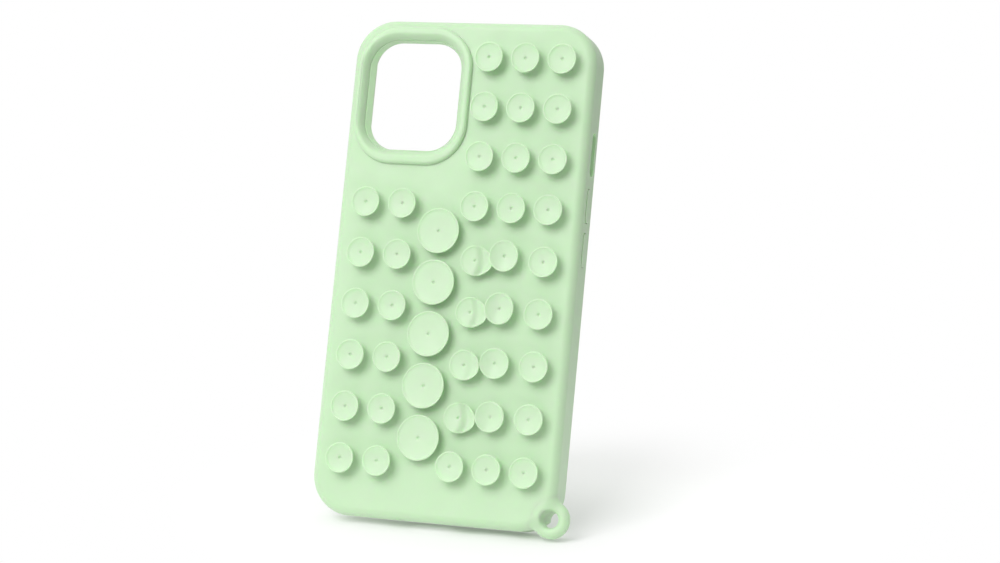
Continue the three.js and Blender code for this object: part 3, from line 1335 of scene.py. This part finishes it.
@dataclass
class CupField:
    """Every suction cup on the back."""

    finish: bpy.types.Material
    seed: int = 11
    stuck_rows: dict[int, Stuck] = field(
        default_factory=lambda: {
            5: Stuck(creased=(0.5, -0.7), pulled=(0.0, 1.15), flap=1.1, crease=1.35, stretch=0.15),
            6: Stuck(creased=(0.5, -0.65), pulled=(0.05, 1.0), flap=1.0, crease=1.0, stretch=0.25),
            7: Stuck(creased=(0.2, -0.85), pulled=(0.2, 0.25), flap=0.5, crease=0.5, stretch=0.05),
            8: Stuck(creased=(0.0, -1.0), pulled=(0.3, 0.0), flap=0.9, crease=1.4, stretch=0.05),
        }
    )

    def column(self, node: str) -> float:
        """Finds where a cup's foot stands, from an upright cup of its own column.

        Args:
            node: the cup's CAD node.

        Returns:
            The foot's place along X, in metres.
        """
        name = node
        if "right" in node:
            name = "cup_r4_" + node.rsplit("_", 1)[1]
        low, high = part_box(name)
        return (low.x + high.x) / 2

    def build(self) -> list[bpy.types.Object]:
        """Builds one piece for each cup."""
        rng = random.Random(self.seed)
        pieces = []
        for node in sorted(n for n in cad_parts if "cup" in n):
            row = int(node[5]) if node.startswith("cup_r") else 0
            stuck = self.stuck_rows.get(row)
            fold = Fold.NONE
            if stuck and node.endswith("right1"):
                fold = Fold.CREASED
            elif stuck and node.endswith("right2"):
                fold = Fold.PULLED
            cup = Cup(node, self.finish, self.column(node), rng, stuck, fold)
            pieces.append(cup.build())
        return pieces


# --------------------------------------------------------------------------------------- button covers


@dataclass
class ButtonCovers:
    """The three soft covers that press the phone's own buttons."""

    finish: bpy.types.Material
    rounding: float = 0.45
    bodies: tuple[str, ...] = ("volume_up_cover", "volume_down_cover", "power_cover")

    def build(self) -> list[bpy.types.Object]:
        """Builds each cover over its CAD node."""
        pieces = []
        for node in self.bodies:
            low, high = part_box(node)
            bm = rounded_block(low, high, 0, (high.y - low.y) / 2 * ROUND_END, 12)
            for level in (low.x, high.x):
                round_edges(bm, at_level(0, level), self.rounding * MM, 5)
            piece = finish_mesh(bm, f"{node}_cap", 60)
            even_normals(piece)
            dress(piece, self.finish)
            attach(piece, node)
            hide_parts(node)
            pieces.append(piece)
        return pieces


# ------------------------------------------------------------------------------------------------ studio


@dataclass
class Studio:
    """A plain pale floor, a white surround and soft light from the upper left."""

    camera_place: Vector = field(default_factory=lambda: Vector((227.524, -644.797, -78.413)) * MM)
    right: Vector = field(default_factory=lambda: Vector((0.94857, 0.30216, 0.09443)))
    ahead: Vector = field(default_factory=lambda: Vector((-0.31165, 0.94370, 0.11093)))
    lens: float = 83.04
    sensor: float = 36.0
    floor_normal: Vector = field(default_factory=lambda: Vector((0, -0.298, 0.9545)))
    floor_finish: PaintedFloor = PaintedFloor()
    floor_half: tuple[float, float, float] = (0.5, 0.3, 1.0)  # metres across and along
    floor_shift: tuple[float, float, float] = (0.0, -0.12, 0.0)
    lamp_toward: Vector = field(default_factory=lambda: Vector((-0.28, -1.0, 0.42)))
    lamp_distance: float = 1.2
    lamp_size: float = 0.75
    lamp_watts: float = 8.4
    sky_toward: Vector = field(default_factory=lambda: Vector((-0.35, -0.2, 0.92)))
    sky_from: float = -0.5
    sky_levels: tuple[float, float] = (0.1, 1.1)

    def camera(self) -> None:
        """Places the camera."""
        data = bpy.data.cameras.new("camera")
        data.lens, data.sensor_width = self.lens, self.sensor
        data.clip_start, data.clip_end = 0.01, 10
        made = bpy.data.objects.new("camera", data)
        ahead = self.ahead.normalized()
        right = (self.right - ahead * self.right.dot(ahead)).normalized()
        up = right.cross(ahead)
        turn = Matrix((right, up, -ahead)).transposed()
        made.matrix_world = Matrix.Translation(self.camera_place) @ turn.to_4x4()
        bpy.context.scene.collection.objects.link(made)
        bpy.context.scene.camera = made

    def floor(self) -> None:
        """Lays the floor under the bottom edge of the front lip, on which the case leans back."""
        low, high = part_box("front_lip")
        touch = Vector((0, high.y, low.z))
        normal = self.floor_normal.normalized()
        bm = bmesh.new()
        bmesh.ops.create_grid(bm, x_segments=1, y_segments=1, size=1)
        bmesh.ops.scale(bm, vec=self.floor_half, verts=bm.verts)
        bmesh.ops.translate(bm, vec=self.floor_shift, verts=bm.verts)
        turn = Vector((0, 0, 1)).rotation_difference(normal).to_matrix()
        bmesh.ops.rotate(bm, cent=(0, 0, 0), matrix=turn, verts=bm.verts)
        bmesh.ops.translate(bm, vec=touch, verts=bm.verts)
        floor = finish_mesh(bm, "studio_floor")
        floor.data.materials.append(self.floor_finish.material())

    def lamp(self, name: str, toward: Vector, distance: float, size: float, power: float) -> None:
        """Hangs a square soft light.

        Args:
            name: the light's name.
            toward: the direction from the case to the light.
            distance: in metres.
            size: of the light's side, in metres.
            power: in watts.
        """
        data = bpy.data.lights.new(name, "AREA")
        data.shape, data.size, data.energy = "SQUARE", size, power
        made = bpy.data.objects.new(name, data)
        place = toward.normalized() * distance
        made.location = place
        made.rotation_mode = "QUATERNION"
        made.rotation_quaternion = (-place).to_track_quat("-Z", "Y")
        bpy.context.scene.collection.objects.link(made)

    def surround(self) -> None:
        """Makes the world: white to look at, and brighter from above and from the left as light."""
        world = bpy.data.worlds.new("studio_surround")
        bpy.context.scene.world = world
        world.use_nodes = True
        tree = world.node_tree
        tree.nodes.clear()
        way = add_node(tree, "ShaderNodeTexCoord").outputs["Generated"]
        facing = add_node(
            tree,
            "ShaderNodeVectorMath",
            {"operation": "DOT_PRODUCT"},
            {0: way, 1: self.sky_toward.normalized()},
        )
        level = add_node(
            tree,
            "ShaderNodeMapRange",
            inputs={
                "Value": facing.outputs["Value"],
                "From Min": self.sky_from,
                "From Max": 1.0,
                "To Min": self.sky_levels[0],
                "To Max": self.sky_levels[1],
            },
        )
        light = add_node(
            tree,
            "ShaderNodeBackground",
            inputs={"Color": linear("#ffffff"), "Strength": level.outputs["Result"]},
        )
        backdrop = add_node(
            tree,
            "ShaderNodeBackground",
            inputs={"Color": linear("#ffffff"), "Strength": 1.0},
        )
        seen = add_node(tree, "ShaderNodeLightPath").outputs["Is Camera Ray"]
        both = add_node(
            tree,
            "ShaderNodeMixShader",
            inputs={0: seen, 1: light.outputs[0], 2: backdrop.outputs[0]},
        )
        add_node(tree, "ShaderNodeOutputWorld", inputs={"Surface": both.outputs[0]})

    def build(self) -> None:
        """Sets up the whole studio."""
        self.camera()
        self.floor()
        self.surround()
        self.lamp(
            "key_upper_left",
            self.lamp_toward,
            self.lamp_distance,
            self.lamp_size,
            self.lamp_watts,
        )
        bpy.context.scene.view_settings.view_transform = "Standard"


def main() -> None:
    """Builds the case round the frame, and then the studio."""
    logging.basicConfig(level=logging.INFO, format="%(name)s: %(message)s")
    shell_silicone = MouldedSilicone("moulded_silicone_mint", "#bad8b1", "#bfdbb6").material()
    # painted light: the cups' copy of the mint silicone is paler than the shell's, standing in for the
    # whiter look of the raised, lit cups
    cup_silicone = MouldedSilicone("moulded_silicone_mint_cups_lit_paler", "#bed8b5", "#c2dbb9").material()
    button_silicone = MouldedSilicone("moulded_silicone_mint_buttons", "#bad8b1", "#bfdbb6").material()
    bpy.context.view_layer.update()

    shell = Shell(shell_silicone)
    ring = CameraRing(shell_silicone)
    loop = LanyardLoop(shell_silicone, shell)
    openings = WallOpenings(shell)
    pieces = [
        shell.build([ring.cutter(), *loop.cutters(), *openings.cutters()]),
        ring.build(),
        loop.build(),
        *ButtonCovers(button_silicone).build(),
        *CupField(cup_silicone).build(),
    ]
    for piece in pieces:
        log.info("%s: %d faces", piece.name, len(piece.data.polygons))
    Studio().build()


if __name__ == "__main__":
    main()
